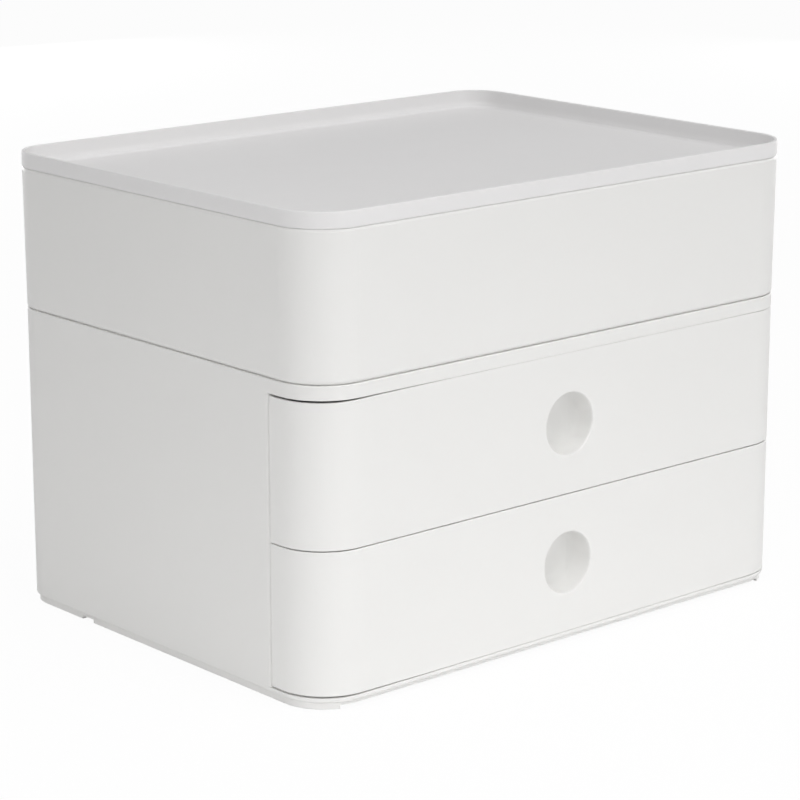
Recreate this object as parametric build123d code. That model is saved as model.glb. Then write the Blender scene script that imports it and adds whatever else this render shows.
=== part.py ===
from build123d import *

import os
from math import radians, tan

# A desk file box in three stacked levels: a cabinet with two closed drawers, a
# utensil box and a lid that is also a tray. Millimetres, +Z up, front towards -Y.
# The origin is the middle of the footprint, on the surface that the box stands on.

# Plan of the lid and of the utensil box's rim, the widest outline
width = 260.0
depth = 195.0
front_corner_radius = 21.0
rear_corner_radius = 16.0
least_corner_radius = 1.0      # insets of the plan keep at least this radius

# Heights of the levels, from the table up
pad_stand = 0.3                # pads reach this far below the plinth
foot_height = 1.4
plinth_height = 1.5            # set-back foot of the base, all the way round
base_height = 1.9
front_height = 56.7            # one drawer front
front_gap = 0.45               # below each drawer front
top_gap = 0.6                  # above the upper front
band_height = 5.55             # cabinet band above the drawers
box_height = 57.85
lid_height = 6.6

# Walls
cabinet_wall = 2.4
front_wall = 2.4               # drawer front
drawer_wall = 2.0
drawer_floor = 2.0
box_wall = 2.2
box_floor = 2.4
lid_floor = 2.0
lid_rim = 1.5                  # top of the lid's raised rim

# Moulding draft, in degrees, and edge rounding
box_draft = 0.4
drawer_draft = 0.5
lid_draft = 3.0
edge_round = 0.5
front_edge_round = 0.3
seam_bevel = 0.3               # shallow groove where the lid meets the box: its depth
seam_bevel_height = 1.0        # and how far it reaches up the lid and down the box
box_base_round = 1.8           # lower outer edge of the utensil box
cabinet_base_round = 0.8
side_edge_round = 1.4          # front edge of the cabinet's side walls
box_floor_round = 3.0
drawer_floor_round = 4.0

# Drawers
wrap_length = 27.0             # how far a front returns round the corner
wrap_gap = 0.6                 # wrap end to cabinet side wall
front_skirt = 1.2              # front reaches this far below the tray
side_clearance = 1.2           # tray to cabinet side wall
rear_clearance = 1.5
tray_drop = 5.3                # top edge of the front down to the top of the tray's walls
skid_width = 3.0
skid_height = 0.8
skid_clearance = 0.3
skid_inset = 2.0               # skid from the tray's outer side

# Finger grips: round closed dishes in the drawer fronts
grip_radius = 12.6
grip_depth = 10.5
grip_wall = 1.8
grip_edge_round = 0.8

# Runner ledges that carry the upper drawer, and pull-out stops
ledge_width = 7.0
ledge_height = 2.2
lower_rail_width = 7.0
stop_height_overlap = 1.0      # lug and stop meet over this height
stop_length = 2.5
stop_width = 4.7
stop_setback = 3.5             # stop behind the front edge of the side wall
stop_clearance = 0.3
lug_length = 3.0
lug_height = 3.2

# Stacking: a plinth below the cabinet, and a rim on top that takes the box
foot_inset = 1.3
foot_width = 4.0
foot_return = 12.0             # rails run this far round the corners
notch_width = 7.5
notch_from_rear = 42.0         # rear face to the nearer side of the notch
rim_width = 3.2
ring_clearance = 0.4
ring_width = 2.0
ring_height = 2.6
stack_depth = 3.0

# Under the base: pad bosses and stiffening ribs
pad_radius = 5.0
pad_height = 1.6
pad_bevel = 0.2
pad_clearance = 0.2
pad_from_side = 20.0           # pad centre from the two sides of its corner
boss_wall = 1.6
rib_width = 1.6
rib_height = 1.4
rib_count_along = 3            # ribs that run front to back
rib_count_across = 3

# Lid: rim, coved dish and the step that locates it in the box
dish_depth = 7.75
dish_cove = 6.0
step_clearance = 0.4
step_round = 2.2

# Levels worked out from the sizes above
foot_bottom = pad_stand
plinth_bottom = foot_bottom + foot_height
base_bottom = plinth_bottom + plinth_height
bay_floor = base_bottom + base_height
front_bottoms = [
    bay_floor + front_gap,
    bay_floor + front_gap + front_height + front_gap,
]
bay_ceiling = front_bottoms[1] + front_height + top_gap
cabinet_top = bay_ceiling + band_height
box_top = cabinet_top + box_height
lid_top = box_top + lid_height

# Plan sizes worked out from the sizes above
body_inset = box_height * tan(radians(box_draft))
body_width = width - 2 * body_inset
body_depth = depth - 2 * body_inset
front_face = -body_depth / 2
rear_face = body_depth / 2
wrap_end = front_face + wrap_length
side_front = wrap_end + wrap_gap
bay_half = body_width / 2 - cabinet_wall
bay_rear = rear_face - cabinet_wall
tray_half = bay_half - side_clearance
tray_rear = bay_rear - rear_clearance
tray_height = front_height - front_skirt - tray_drop
tray_corner_radius = rear_corner_radius - body_inset - cabinet_wall - side_clearance
ledge_top = front_bottoms[1] + front_skirt - skid_height - skid_clearance
ledge_bottom = ledge_top - ledge_height
lower_rail_top = front_bottoms[0] + front_skirt - skid_height - skid_clearance
stop_front = side_front + stop_setback
lug_front = tray_rear - tray_corner_radius - lug_length
pull_out = lug_front - stop_front - stop_length - stop_clearance


def plan(inset=0.0):
    """Outline of the box from above, with every side moved in by inset."""
    outline = Rectangle(width - 2 * inset, depth - 2 * inset)
    for side, radius in ((0, front_corner_radius), (-1, rear_corner_radius)):
        corners = outline.vertices().group_by(Axis.Y)[side]
        outline = fillet(corners, max(radius - inset, least_corner_radius))
    return outline


def body_plan(inset=0.0):
    """Outline of the cabinet, which the drafted utensil box tapers down to."""
    return plan(body_inset + inset)


def slab(outline, low, high):
    """A plan outline made solid between two heights."""
    return extrude(Pos(0, 0, low) * outline, high - low)


def block(x, y, z):
    """A box given by its low and high limits along each axis."""
    size = [high - low for low, high in (x, y, z)]
    centre = [(high + low) / 2 for low, high in (x, y, z)]
    return Pos(*centre) * Box(*size)


def drafted(outline, low, high, angle):
    """A slab that has its outline at the top and narrows towards its base."""
    solid = slab(outline, low, high)
    sides = [face for face in solid.faces() if abs(face.normal_at().Z) < 0.5]
    return draft(sides, Plane.XY.offset(high), -angle)


def rounded_at(solid, height, radius):
    """The solid with the edges that lie at one height rounded."""
    edges = solid.edges().filter_by_position(Axis.Z, height - 0.01, height + 0.01)
    return fillet(edges, radius)


def seam_bevelled(solid, face):
    """The solid with the shallow bevel of the lid's seam round one of its flat faces."""
    return chamfer(face.edges(), seam_bevel, seam_bevel_height, reference=face)


def mirrored_pair(solid):
    """A left and a right copy of something modelled at the right side."""
    return [solid, mirror(solid, Plane.YZ)]


def cabinet_shell():
    """Base, back, side walls and top band, open to the front."""
    shell = slab(body_plan(), base_bottom, cabinet_top)
    shell = rounded_at(shell, base_bottom, cabinet_base_round)
    shell = rounded_at(shell, cabinet_top, edge_round)
    shell -= slab(body_plan(cabinet_wall), bay_floor, bay_ceiling)
    reach = (-width, width)
    shell -= block(reach, (front_face - depth, side_front), (bay_floor, bay_ceiling))
    wall_edges = (
        shell.edges()
        .filter_by(Axis.Z)
        .filter_by_position(Axis.Y, side_front - 0.01, side_front + 0.01)
    )
    outer = wall_edges.group_by(Axis.X)
    shell = fillet(outer[0] + outer[-1], side_edge_round)
    return shell - slab(body_plan(rim_width), cabinet_top - stack_depth, cabinet_top)


def runners():
    """Rails under the lower drawer, ledges under the upper one, and the stops."""
    parts = []
    side = bay_half + cabinet_wall / 2
    ledge_x = (bay_half - ledge_width, side)
    along = (side_front, bay_rear + cabinet_wall / 2)
    parts += mirrored_pair(block(ledge_x, along, (ledge_bottom, ledge_top)))
    rail_x = (bay_half - lower_rail_width, side)
    parts += mirrored_pair(block(rail_x, along, (bay_floor, lower_rail_top)))
    for bottom, overhead in zip(front_bottoms, (ledge_bottom, bay_ceiling)):
        lug_top = bottom + front_skirt + tray_height + lug_height
        stop = block(
            (bay_half - stop_width, side),
            (stop_front, stop_front + stop_length),
            (lug_top - stop_height_overlap, overhead),
        )
        parts += mirrored_pair(stop)
    inside = slab(body_plan(cabinet_wall / 2), base_bottom, cabinet_top)
    return [part & inside for part in parts]


def plinth():
    """A set-back ring under the base, deeper along the sides, with a notch near the back."""
    ring = slab(body_plan(foot_inset), foot_bottom, base_bottom)
    ring -= slab(body_plan(foot_inset + foot_width), foot_bottom, base_bottom)
    middle = body_width / 2 - foot_inset - foot_return
    ring -= block((-middle, middle), (-depth, depth), (foot_bottom, plinth_bottom))
    notch_rear = rear_face - notch_from_rear
    notch_y = (notch_rear - notch_width, notch_rear)
    return ring - block((-width, width), notch_y, (foot_bottom, plinth_bottom))


def pad_places():
    """Pad centres, keyed by the corner that each one stands at."""
    x = body_width / 2 - pad_from_side
    y = body_depth / 2 - pad_from_side
    return {
        "front_left": (-x, -y),
        "front_right": (x, -y),
        "rear_left": (-x, y),
        "rear_right": (x, y),
    }


def base_ribs():
    """Shallow crossed ribs that stiffen the base inside the plinth."""
    span_x = body_width / 2 - foot_inset - foot_width
    span_y = body_depth / 2 - foot_inset - foot_width
    levels = (base_bottom - rib_height, base_bottom)
    ribs = []
    for i in range(rib_count_along):
        x = (2 * (i + 1) / (rib_count_along + 1) - 1) * span_x
        ribs.append(block((x - rib_width / 2, x + rib_width / 2), (-span_y, span_y), levels))
    for i in range(rib_count_across):
        y = (2 * (i + 1) / (rib_count_across + 1) - 1) * span_y
        ribs.append(block((-span_x, span_x), (y - rib_width / 2, y + rib_width / 2), levels))
    return ribs


def make_housing():
    housing = cabinet_shell() + runners() + plinth() + base_ribs()
    boss_radius = pad_radius + pad_clearance + boss_wall
    for x, y in pad_places().values():
        housing += Pos(x, y) * slab(Circle(boss_radius), foot_bottom, base_bottom)
    for x, y in pad_places().values():
        pocket = Circle(pad_radius + pad_clearance)
        housing -= Pos(x, y) * slab(pocket, foot_bottom, pad_height)
    return housing


def make_pad(x, y):
    pad = Pos(x, y) * slab(Circle(pad_radius), 0, pad_height)
    return chamfer(pad.edges().group_by(Axis.Z)[0], pad_bevel)


def front_block(bottom):
    """The drawer front and its returns, solid, with softened edges."""
    behind = Pos(0, wrap_end + depth / 2) * Rectangle(2 * width, depth)
    solid = slab(body_plan() - behind, bottom, bottom + front_height)
    wrap_edges = solid.edges().filter_by(Axis.Z).group_by(Axis.Y)[-1]
    solid = fillet(wrap_edges, front_edge_round)
    solid = rounded_at(solid, bottom, front_edge_round)
    return rounded_at(solid, bottom + front_height, front_edge_round)


def tray_outline(front, inset=0.0):
    """Plan of the drawer's tray, from a front line back to its rounded rear corners."""
    rear = tray_rear - inset
    outline = Rectangle(2 * (tray_half - inset), rear - front)
    corners = outline.vertices().group_by(Axis.Y)[-1]
    outline = fillet(corners, max(tray_corner_radius - inset, least_corner_radius))
    return Pos(0, (front + rear) / 2) * outline


def front_hollow(floor_top, top):
    """The space inside the front and its returns."""
    rear = wrap_end - front_wall
    behind = Pos(0, rear + depth / 2) * Rectangle(2 * width, depth)
    hollow = slab(body_plan(front_wall) - behind, floor_top, top)
    floor_edges = hollow.edges().filter_by_position(Axis.Z, floor_top - 0.01, floor_top + 0.01)
    return fillet(floor_edges.sort_by(Axis.Y)[:-1], drawer_floor_round)


def tray_hollow(floor_top, top):
    """The space inside the tray, run forward into the space inside the front."""
    front = wrap_end - front_wall - 2 * drawer_floor_round
    outline = tray_outline(front, drawer_wall)
    wall_top = floor_top - drawer_floor + tray_height
    hollow = drafted(outline, floor_top, wall_top, drawer_draft)
    hollow = rounded_at(hollow, floor_top, drawer_floor_round)
    return hollow + slab(outline, wall_top, top)


def skirt_hollow(bottom, top):
    """The space under the drawer's floor, inside the front's lower edge."""
    behind_front = tray_outline(front_face + front_wall, drawer_wall)
    return slab(behind_front, bottom, top) & slab(body_plan(front_wall), bottom, top)


def cup(radius, reach):
    """The cap of a sphere behind the XZ plane, from its mouth radius and its depth."""
    sphere_radius = (radius**2 + reach**2) / (2 * reach)
    ball = Pos(0, reach - sphere_radius) * Sphere(sphere_radius)
    sideways = (-sphere_radius, sphere_radius)
    return ball & block(sideways, (0, reach), sideways)


def skids(bottom):
    """Two strips under the tray that slide on the ledges or rails."""
    lean = tray_height * tan(radians(drawer_draft))
    outer = tray_half - lean - skid_inset
    along = (wrap_end, tray_rear - tray_corner_radius)
    skid = block((outer - skid_width, outer), along, (bottom - skid_height, bottom))
    return mirrored_pair(skid)


def lugs(top):
    """Two lugs on the tray's side walls that meet the stops at full pull-out."""
    side = (tray_half - drawer_wall, tray_half)
    lug = block(side, (lug_front, lug_front + lug_length), (top, top + lug_height))
    return mirrored_pair(lug)


def make_drawer(bottom):
    tray_bottom = bottom + front_skirt
    tray_top = tray_bottom + tray_height
    floor_top = tray_bottom + drawer_floor
    front_top = bottom + front_height

    tray = tray_outline(wrap_end - front_wall)
    drawer = front_block(bottom) + drafted(tray, tray_bottom, tray_top, drawer_draft)
    drawer -= front_hollow(floor_top, front_top)
    drawer -= tray_hollow(floor_top, front_top)
    drawer -= skirt_hollow(bottom, tray_bottom)

    grip = Pos(0, front_face, bottom + front_height / 2)
    drawer += grip * cup(grip_radius + grip_wall, grip_depth + grip_wall)
    drawer -= grip * cup(grip_radius, grip_depth)
    in_face = drawer.edges().filter_by_position(Axis.Y, front_face - 0.01, front_face + 0.01)
    drawer = fillet(in_face.filter_by(GeomType.CIRCLE), grip_edge_round)
    return drawer + skids(tray_bottom) + lugs(tray_top)


def make_utensil_box():
    floor_top = cabinet_top + box_floor
    box = drafted(plan(), cabinet_top, box_top, box_draft)
    box = rounded_at(box, cabinet_top, box_base_round)
    box = seam_bevelled(box, box.faces().sort_by(Axis.Z)[-1])
    hollow = drafted(plan(box_wall), floor_top, box_top, box_draft)
    box -= rounded_at(hollow, floor_top, box_floor_round)
    ring_inset = rim_width + ring_clearance
    ring = slab(body_plan(ring_inset), cabinet_top - ring_height, cabinet_top)
    ring -= slab(body_plan(ring_inset + ring_width), cabinet_top - ring_height, cabinet_top)
    return box + ring


def make_lid_tray():
    dish_bottom = lid_top - dish_depth
    lid = slab(plan(), box_top, lid_top)
    lid = seam_bevelled(lid, lid.faces().sort_by(Axis.Z)[0])
    step = slab(plan(box_wall + step_clearance), dish_bottom - lid_floor, box_top)
    lid += rounded_at(step, dish_bottom - lid_floor, step_round)
    dish = drafted(plan(lid_rim), dish_bottom, lid_top, lid_draft)
    lid -= rounded_at(dish, dish_bottom, dish_cove)
    return rounded_at(lid, lid_top, edge_round)


def make_parts():
    parts = {
        "housing": make_housing(),
        "drawer_lower": make_drawer(front_bottoms[0]),
        "drawer_upper": make_drawer(front_bottoms[1]),
        "utensil_box": make_utensil_box(),
        "lid_tray": make_lid_tray(),
    }
    for corner, (x, y) in pad_places().items():
        parts["foot_pad_" + corner] = make_pad(x, y)
    return parts


os.makedirs("parts", exist_ok=True)
for name, part in make_parts().items():
    part.label = name
    export_step(part, f"parts/{name}.step")
    print(name, "volume", round(part.volume), "solids", len(part.solids()))
print("each drawer pulls out", round(pull_out, 1), "mm")
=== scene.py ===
from math import acos, cos, pi, radians, sin

import bmesh
import bpy
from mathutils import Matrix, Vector


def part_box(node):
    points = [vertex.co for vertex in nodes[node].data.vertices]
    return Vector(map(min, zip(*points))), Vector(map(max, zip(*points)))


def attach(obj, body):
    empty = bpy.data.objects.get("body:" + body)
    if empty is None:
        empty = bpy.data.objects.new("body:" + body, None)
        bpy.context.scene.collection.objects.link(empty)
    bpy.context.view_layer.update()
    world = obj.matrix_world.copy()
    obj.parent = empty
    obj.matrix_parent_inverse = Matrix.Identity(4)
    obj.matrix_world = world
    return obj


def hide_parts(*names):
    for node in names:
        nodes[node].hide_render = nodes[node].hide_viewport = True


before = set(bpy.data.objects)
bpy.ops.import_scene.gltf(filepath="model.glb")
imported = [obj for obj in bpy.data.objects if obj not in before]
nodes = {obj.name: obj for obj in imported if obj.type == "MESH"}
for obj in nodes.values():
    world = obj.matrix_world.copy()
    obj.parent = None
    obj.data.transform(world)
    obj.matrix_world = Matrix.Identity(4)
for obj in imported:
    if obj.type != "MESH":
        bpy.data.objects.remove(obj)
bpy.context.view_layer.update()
print("frame loaded:", len(nodes), "pieces")

camera = {
    "place": (-0.7611, -0.8609, 0.3785),
    "azimuth": -41.35,   # degrees, seen from the front towards the left side
    "elevation": 14.48,
    "lens": 127.7,       # mm, as the sensor
    "sensor": 36,
    "nearest": 0.01,     # nothing closer than this is drawn
}


def placeCamera():
    data = bpy.data.cameras.new("camera")
    data.lens = camera["lens"]
    data.sensor_width = camera["sensor"]
    data.clip_start = camera["nearest"]
    obj = bpy.data.objects.new("camera", data)
    obj.location = camera["place"]
    obj.rotation_euler = (radians(90 - camera["elevation"]), 0, radians(camera["azimuth"]))
    bpy.context.collection.objects.link(obj)
    bpy.context.scene.camera = obj


placeCamera()
print("camera placed")


def newMaterial(name):
    material = bpy.data.materials.new(name)
    material.use_nodes = True
    return material, material.node_tree, material.node_tree.nodes["Principled BSDF"]


def noise(tree, scale, detail):
    where = tree.nodes.new("ShaderNodeTexCoord")
    node = tree.nodes.new("ShaderNodeTexNoise")
    node.inputs["Scale"].default_value = scale
    node.inputs["Detail"].default_value = detail
    tree.links.new(where.outputs["Object"], node.inputs["Vector"])
    return node.outputs["Fac"]


def colourBetween(tree, shader, share, first, second):
    tint = tree.nodes.new("ShaderNodeMix")
    tint.data_type = "RGBA"
    factor, colourA, colourB = (tint.inputs[i] for i in (0, 6, 7))   # a mix of colours uses these
    colourA.default_value = (*first, 1)
    colourB.default_value = (*second, 1)
    tree.links.new(share, factor)
    tree.links.new(tint.outputs[2], shader.inputs["Base Color"])


def roughnessBetween(tree, shader, share, limits):
    gloss = tree.nodes.new("ShaderNodeMapRange")
    gloss.inputs["To Min"].default_value = limits[0]
    gloss.inputs["To Max"].default_value = limits[1]
    tree.links.new(share, gloss.inputs["Value"])
    tree.links.new(gloss.outputs["Result"], shader.inputs["Roughness"])


def bump(tree, height, depth):
    node = tree.nodes.new("ShaderNodeBump")
    node.inputs["Distance"].default_value = depth
    tree.links.new(height, node.inputs["Height"])
    return node


# white satin mouldings: all from one plastic, the lid a touch cooler
plastic = {
    "cabinetColour": (0.805, 0.8, 0.787),
    "lidColour": (0.8, 0.792, 0.792),
    "mottle": 0.012,            # share by which the colour drifts over the surface
    "mottleNoise": (14, 3),     # each noise: scale per metre, detail
    "roughness": (0.36, 0.46),
    "roughnessNoise": (60, 4),
    "grainNoise": (2600, 2),    # fine texture of the mould
    "grainDepth": 0.00002,
    "waveNoise": (22, 1),       # slow unevenness of a large thin wall
    "waveDepth": 0.00015,
    "ior": 1.49,
}


def satinPlastic(name, colour):
    material, tree, shader = newMaterial(name)
    shader.inputs["IOR"].default_value = plastic["ior"]
    darker = [c * (1 - plastic["mottle"]) for c in colour]
    lighter = [c * (1 + plastic["mottle"]) for c in colour]
    colourBetween(tree, shader, noise(tree, *plastic["mottleNoise"]), darker, lighter)
    roughnessBetween(tree, shader, noise(tree, *plastic["roughnessNoise"]), plastic["roughness"])
    wave = bump(tree, noise(tree, *plastic["waveNoise"]), plastic["waveDepth"])
    grain = bump(tree, noise(tree, *plastic["grainNoise"]), plastic["grainDepth"])
    tree.links.new(wave.outputs["Normal"], grain.inputs["Normal"])
    tree.links.new(grain.outputs["Normal"], shader.inputs["Normal"])
    return material


rubber = {
    "colour": (0.5, 0.5, 0.5),
    "dust": (0.58, 0.58, 0.57),
    "roughness": (0.7, 0.85),
    "grainNoise": (3000, 2),
    "grainDepth": 0.00005,
}


def padRubber():
    material, tree, shader = newMaterial("padRubber")
    speckle = noise(tree, *rubber["grainNoise"])
    colourBetween(tree, shader, speckle, rubber["colour"], rubber["dust"])
    roughnessBetween(tree, shader, speckle, rubber["roughness"])
    grain = bump(tree, speckle, rubber["grainDepth"])
    tree.links.new(grain.outputs["Normal"], shader.inputs["Normal"])
    return material


cabinetPlastic = satinPlastic("cabinetPlastic", plastic["cabinetColour"])
drawerPlastic = satinPlastic("drawerPlastic", plastic["cabinetColour"])
boxPlastic = satinPlastic("boxPlastic", plastic["cabinetColour"])
lidPlastic = satinPlastic("lidPlastic", plastic["lidColour"])
padMaterial = padRubber()

finishes = {
    "housing": cabinetPlastic,
    "drawer_upper": drawerPlastic,
    "drawer_lower": drawerPlastic,
    "utensil_box": boxPlastic,
    "lid_tray": lidPlastic,
}
for name, obj in nodes.items():
    for slot in obj.material_slots:
        slot.material = finishes.get(name, padMaterial)
print("plastics and rubber set")


joinDistance = 0.000001     # points closer than this become one
sharpAngle = 32             # degrees; edges that bend more stay crisp


def shadedObject(name, mesh):
    obj = bpy.data.objects.new(name, mesh)
    bpy.context.collection.objects.link(obj)
    mesh.set_sharp_from_angle(angle=radians(sharpAngle))
    weighted = obj.modifiers.new("weighted", "WEIGHTED_NORMAL")
    weighted.keep_sharp = True
    return obj


# the fronts are thin and slightly bowed: closed gaps in the middle, open at the corners
drawers = {
    "closest": 0.02,          # x where a front comes nearest to its neighbour
    "reach": 0.14,            # from there to where the gap is widest
    "steepness": 4,
    "edgeDepth": 0.0012,      # how far into the front the bow fades out
    "cutEvery": 0.006,
    "frontHalf": 0.108,       # half the width that is cut; the corners have points enough
    "wrapEnd": -0.0698,       # y just behind the ends of a front on the sides
    "upperTop": (0.0006, 0.00005, 0.0009),     # gap in the solids, narrowest, widest
    "upperBottom": (0.00045, 0.00035, 0.0004),
    "lowerBottom": (0.00045, 0.00004, 0.0007),
}

# the finger cups: a steeper wall and a flatter floor than the plain sphere of the solids
cup = {
    "sphere": 0.01281,
    "sphereDepth": 0.0105,
    "wall": 0.0018,
    "rims": (0.00034, 0.0024),     # depth at which the inner and the outer skin begin
    "rimMargin": 0.00001,          # points of the rim itself stay
    "nearSkin": 0.0003,            # cuts through flat facets lie a little off the sphere
    "depth": 0.0112,
    "power": 4.0,                  # 2 is an ellipse, larger is squarer
}


def cutAcross(shape):
    # upright cuts give the long edges enough points to bend
    x = -drawers["frontHalf"]
    while x < drawers["frontHalf"]:
        everything = shape.verts[:] + shape.edges[:] + shape.faces[:]
        bmesh.ops.bisect_plane(
            shape, geom=everything, dist=joinDistance, plane_co=(x, 0, 0), plane_no=(1, 0, 0)
        )
        x += drawers["cutEvery"]


def bowEdge(shape, edge, outwards, gaps):
    modelled, narrow, wide = gaps
    for vert in shape.verts:
        if vert.co.y > drawers["wrapEnd"]:
            continue
        fade = max(0, 1 - abs(vert.co.z - edge) / drawers["edgeDepth"])
        share = min(1, abs(vert.co.x - drawers["closest"]) / drawers["reach"])
        gap = narrow + (wide - narrow) * share ** drawers["steepness"]
        vert.co.z += outwards * fade * (modelled - gap)


def squareCup(shape, front, middle):
    centre = Vector((0, front + cup["sphereDepth"] - cup["sphere"], middle))
    bend = 2 / cup["power"]
    for vert in shape.verts:
        out = vert.co - centre
        for rim, wall in zip(cup["rims"], (0, cup["wall"])):
            radius = cup["sphere"] + wall
            start = front + rim
            isOffSkin = abs(out.length - radius) > cup["nearSkin"]
            if isOffSkin or vert.co.y < start + cup["rimMargin"]:
                continue
            rimAngle = acos((start - centre.y) / radius)
            turn = pi / 2 * min(1, acos(min(1, out.y / out.length)) / rimAngle)
            across = Vector((out.x, out.z)).length
            ring = radius * sin(rimAngle) * sin(turn) ** bend
            wider = ring / across if across else 0
            deep = (cup["depth"] + wall - rim) * max(0, cos(turn)) ** bend
            vert.co = (out.x * wider, start + deep, middle + out.z * wider)
            break


def bowedDrawer(node, body, topGaps, bottomGaps):
    low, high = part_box(node)
    mesh = nodes[node].data.copy()
    shape = bmesh.new()
    shape.from_mesh(mesh)
    bmesh.ops.remove_doubles(shape, verts=shape.verts, dist=joinDistance)
    cutAcross(shape)
    if topGaps:
        bowEdge(shape, high.z, 1, topGaps)
    if bottomGaps:
        bowEdge(shape, low.z, -1, bottomGaps)
    squareCup(shape, low.y, (low.z + high.z) / 2)
    shape.to_mesh(mesh)
    shape.free()
    obj = shadedObject(node + "_bowed", mesh)
    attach(obj, body)
    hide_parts(node)


bowedDrawer("drawer_upper", "drawer_upper", drawers["upperTop"], drawers["upperBottom"])
bowedDrawer("drawer_lower", "drawer_lower", None, drawers["lowerBottom"])
print("drawers bowed")


# the lid is one section swept round the plan; each size is an input of its node tree
lidLow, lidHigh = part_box("lid_tray")
lid = {
    "Width": lidHigh.x - lidLow.x,
    "Length": lidHigh.y - lidLow.y,
    "Front radius": 0.021,
    "Rear radius": 0.016,
    "Foot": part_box("utensil_box")[1].z,     # the lid rests on the box's top edge
    "Top": lidHigh.z,
    "Rim": 0.0015,
    "Dish depth": 0.00775,
    "Cove": 0.0032,
    "Lean": 0.0004,          # how far the dish's wall leans in over its depth
    "Step inset": 0.0026,
    "Step foot": lidLow.z,
    "Step round": 0.0022,
    "Seam depth": 0.0004,
    "Seam height": 0.0008,
    "Seam gap": 0.0001,
    "Edge round": 0.0005,
    "Floor inset": 0.014,    # from here to the middle each floor is one flat fan
    "Round steps": 8,        # points added to each round of the section
    "Corner steps": 18,      # and to each corner of the plan
}


def sweptLidTree(material):
    tree = bpy.data.node_groups.new("sweptLid", "GeometryNodeTree")
    for size, value in lid.items():
        kind = "NodeSocketInt" if isinstance(value, int) else "NodeSocketFloat"
        tree.interface.new_socket(size, in_out="INPUT", socket_type=kind)
    tree.interface.new_socket("Lid", in_out="OUTPUT", socket_type="NodeSocketGeometry")
    new = tree.nodes.new
    given = new("NodeGroupInput").outputs

    def put(value, socket):
        # a number is set on the socket, an output is linked to it
        if isinstance(value, (int, float)):
            socket.default_value = value
        else:
            tree.links.new(value, socket)

    def reckoned(first, operation, second):
        node = new("ShaderNodeMath")
        node.operation = operation
        put(first, node.inputs[0])
        put(second, node.inputs[1])
        return node.outputs[0]

    def pointAt(**places):
        node = new("ShaderNodeCombineXYZ")
        for axis, value in places.items():
            put(value, node.inputs[axis])
        return node.outputs[0]

    def byIndex(values):
        node = new("GeometryNodeIndexSwitch")
        node.data_type = "FLOAT"
        while len(node.index_switch_items) < len(values):
            node.index_switch_items.new()
        put(new("GeometryNodeInputIndex").outputs[0], node.inputs["Index"])
        for value, socket in zip(values, node.inputs[1:]):
            put(value, socket)
        return node.outputs[0]

    def rounded(curve, radius, steps):
        node = new("GeometryNodeFilletCurve")
        node.mode = "POLY"
        put(curve, node.inputs["Curve"])
        put(radius, node.inputs["Radius"])
        put(steps, node.inputs["Count"])
        return node

    dishFloor = reckoned(given["Top"], "SUBTRACT", given["Dish depth"])
    dishEdge = reckoned(given["Rim"], "ADD", given["Lean"])
    lidFoot = reckoned(given["Foot"], "ADD", given["Seam gap"])
    seamTop = reckoned(lidFoot, "ADD", given["Seam height"])
    section = [   # inset from the outline, height, round at that corner
        (given["Floor inset"], given["Step foot"], 0),
        (given["Step inset"], given["Step foot"], given["Step round"]),
        (given["Step inset"], lidFoot, 0),
        (given["Seam depth"], lidFoot, 0),
        (0, seamTop, 0),
        (0, given["Top"], given["Edge round"]),
        (given["Rim"], given["Top"], given["Edge round"]),
        (dishEdge, dishFloor, given["Cove"]),
        (given["Floor inset"], dishFloor, 0),
    ]
    insets, heights, rounds = (byIndex(values) for values in zip(*section))

    # the sweep takes the section's X as outwards and its Y as downwards
    across = reckoned(insets, "MULTIPLY", -1)
    down = reckoned(heights, "MULTIPLY", -1)
    line = new("GeometryNodeMeshLine")
    line.inputs["Count"].default_value = len(section)
    placed = new("GeometryNodeSetPosition")
    put(line.outputs[0], placed.inputs["Geometry"])
    put(pointAt(X=across, Y=down), placed.inputs["Position"])
    drawn = new("GeometryNodeMeshToCurve")
    put(placed.outputs[0], drawn.inputs["Mesh"])
    profile = rounded(drawn.outputs[0], rounds, given["Round steps"])
    profile.inputs["Limit Radius"].default_value = True

    outline = new("GeometryNodeCurvePrimitiveQuadrilateral")
    put(given["Width"], outline.inputs["Width"])
    put(given["Length"], outline.inputs["Height"])
    apart = new("ShaderNodeSeparateXYZ")
    put(new("GeometryNodeInputPosition").outputs[0], apart.inputs[0])
    isRear = new("FunctionNodeCompare")
    isRear.operation = "GREATER_THAN"
    put(apart.outputs["Y"], isRear.inputs["A"])
    radius = new("GeometryNodeSwitch")
    radius.input_type = "FLOAT"
    put(isRear.outputs[0], radius.inputs["Switch"])
    put(given["Front radius"], radius.inputs["False"])
    put(given["Rear radius"], radius.inputs["True"])
    plan = rounded(outline.outputs[0], radius.outputs[0], given["Corner steps"])

    sweep = new("GeometryNodeCurveToMesh")
    put(plan.outputs[0], sweep.inputs["Curve"])
    put(profile.outputs[0], sweep.inputs["Profile Curve"])

    # both open loops are drawn in to the middle and close there
    isOpen = new("FunctionNodeCompare")
    isOpen.data_type = "INT"
    isOpen.operation = "EQUAL"
    isOpen.inputs["B"].default_value = 1
    put(new("GeometryNodeInputMeshEdgeNeighbors").outputs[0], isOpen.inputs["A"])
    fan = new("GeometryNodeExtrudeMesh")
    fan.mode = "EDGES"
    fan.inputs["Offset Scale"].default_value = 0
    put(sweep.outputs[0], fan.inputs["Mesh"])
    put(isOpen.outputs[0], fan.inputs["Selection"])
    closed = new("GeometryNodeSetPosition")
    put(fan.outputs["Mesh"], closed.inputs["Geometry"])
    put(fan.outputs["Top"], closed.inputs["Selection"])
    put(pointAt(Z=apart.outputs["Z"]), closed.inputs["Position"])
    joined = new("GeometryNodeMergeByDistance")
    joined.inputs["Distance"].default_value = joinDistance
    put(closed.outputs[0], joined.inputs["Geometry"])

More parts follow.
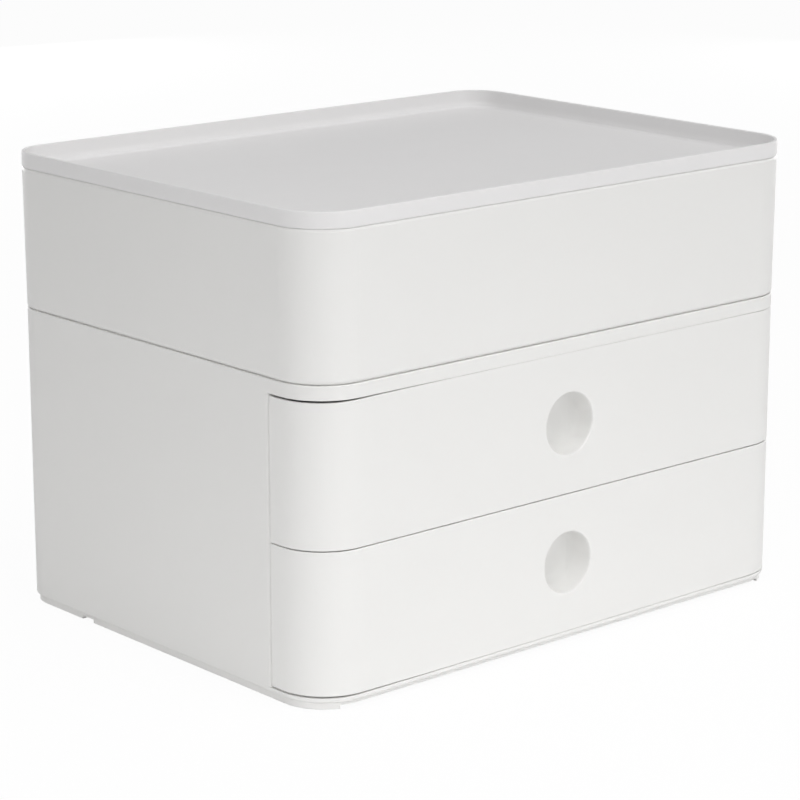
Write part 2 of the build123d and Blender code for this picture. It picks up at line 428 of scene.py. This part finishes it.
    real = new("GeometryNodeRealizeInstances")
    put(joined.outputs[0], real.inputs[0])
    finish = new("GeometryNodeSetMaterial")
    finish.inputs["Material"].default_value = material
    put(real.outputs[0], finish.inputs["Geometry"])
    put(finish.outputs[0], new("NodeGroupOutput").inputs["Lid"])
    return tree


def plainMesh(name, tree, sizes):
    # runs the nodes on an empty object and keeps what they make
    holder = bpy.data.objects.new(name + "Holder", bpy.data.meshes.new(name + "Holder"))
    bpy.context.collection.objects.link(holder)
    modifier = holder.modifiers.new(name, "NODES")
    modifier.node_group = tree
    for socket in tree.interface.items_tree:
        if socket.in_out == "INPUT":
            modifier[socket.identifier] = sizes[socket.name]
    grown = holder.evaluated_get(bpy.context.evaluated_depsgraph_get())
    mesh = bpy.data.meshes.new_from_object(grown)
    mesh.name = name
    holder.modifiers.remove(modifier)
    bpy.data.objects.remove(holder)
    shape = bmesh.new()
    shape.from_mesh(mesh)
    bmesh.ops.recalc_face_normals(shape, faces=shape.faces)
    for face in shape.faces:
        face.smooth = True
    shape.to_mesh(mesh)
    shape.free()
    return mesh


def sweptLid():
    mesh = plainMesh("lidSwept", sweptLidTree(lidPlastic), lid)
    obj = shadedObject("lid_swept", mesh)
    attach(obj, "lid")
    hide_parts("lid_tray")
    print("lid swept:", len(mesh.polygons), "faces")


sweptLid()


# soft studio: (place, size, watts, aim, spread in degrees); no camera sees a lamp
# nearFront is like light off a white table, and the rear ones are too low to reach the lid
lamps = {
    "world": 0.473,
    "soft": {
        "topFront": ((0.1, -0.7, 1.4), (1.0, 0.8), 7.85, (0, 0, 0.1), 180),
        "frontSpot": ((0.3, -1.5, 0.35), (1.0, 0.3), 0.285, (0, -0.1, -0.08), 40),
        "leftFrontSpot": ((-1.2, -0.7, 0.8), (0.5, 0.4), 0.35, (-0.13, -0.1, -0.12), 40),
        "nearFront": ((-0.05, -0.4, 0.05), (0.8, 0.1), 0.067, (0, 0, 0.04), 180),
        "rear": ((0.3, 1.7, 0.13), (1.4, 0.2), 6.5, (0, 0, 0.1), 180),
        "rightRear": ((1.7, 0.5, 0.13), (1.2, 0.2), 5.0, (0, 0, 0.1), 180),
    },
}


def makeWorld():
    # the camera sees plain white, and the box gets a weaker light
    white = (1, 1, 1, 1)
    world = bpy.data.worlds.new("studio")
    bpy.context.scene.world = world
    world.use_nodes = True
    tree = world.node_tree
    back = tree.nodes["Background"]
    back.inputs["Strength"].default_value = lamps["world"]
    back.inputs["Color"].default_value = white
    seen = tree.nodes.new("ShaderNodeBackground")
    seen.inputs["Color"].default_value = white
    path = tree.nodes.new("ShaderNodeLightPath")
    mix = tree.nodes.new("ShaderNodeMixShader")
    out = tree.nodes["World Output"]
    tree.links.new(path.outputs["Is Camera Ray"], mix.inputs["Fac"])
    tree.links.new(back.outputs["Background"], mix.inputs[1])
    tree.links.new(seen.outputs["Background"], mix.inputs[2])
    tree.links.new(mix.outputs["Shader"], out.inputs["Surface"])


def softLamp(name, place, size, watts, aim, spread):
    data = bpy.data.lights.new(name, "AREA")
    data.shape = "RECTANGLE"
    data.size, data.size_y = size
    data.energy = watts
    data.spread = radians(spread)
    obj = bpy.data.objects.new(name, data)
    obj.location = place
    towards = Vector(aim) - Vector(place)
    obj.rotation_euler = towards.to_track_quat("-Z", "Y").to_euler()
    obj.visible_camera = False
    bpy.context.collection.objects.link(obj)


makeWorld()
for name, settings in lamps["soft"].items():
    softLamp(name, *settings)
print("lamps placed")


floor = {
    "half": 6.0,
    "colour": (0.9, 0.9, 0.9),
    "roughness": 0.9,
    "glow": 0.95,      # share of plain white that the camera sees; the rest keeps the shadow
}


def makeFloor():
    mesh = bpy.data.meshes.new("floor")
    half = floor["half"]
    corners = [(-half, -half, 0), (half, -half, 0), (half, half, 0), (-half, half, 0)]
    mesh.from_pydata(corners, [], [(0, 1, 2, 3)])
    obj = bpy.data.objects.new("floor", mesh)
    bpy.context.collection.objects.link(obj)
    material, tree, shader = newMaterial("paleFloor")
    shader.inputs["Base Color"].default_value = (*floor["colour"], 1)
    shader.inputs["Roughness"].default_value = floor["roughness"]
    glow = tree.nodes.new("ShaderNodeEmission")
    glow.inputs["Strength"].default_value = 1
    path = tree.nodes.new("ShaderNodeLightPath")
    share = tree.nodes.new("ShaderNodeMath")
    share.operation = "MULTIPLY"
    share.inputs[1].default_value = floor["glow"]
    mix = tree.nodes.new("ShaderNodeMixShader")
    out = tree.nodes["Material Output"]
    tree.links.new(path.outputs["Is Camera Ray"], share.inputs[0])
    tree.links.new(share.outputs[0], mix.inputs["Fac"])
    tree.links.new(shader.outputs["BSDF"], mix.inputs[1])
    tree.links.new(glow.outputs["Emission"], mix.inputs[2])
    tree.links.new(mix.outputs["Shader"], out.inputs["Surface"])
    mesh.materials.append(material)


makeFloor()
print("floor laid")

bpy.context.scene.view_settings.view_transform = "Standard"
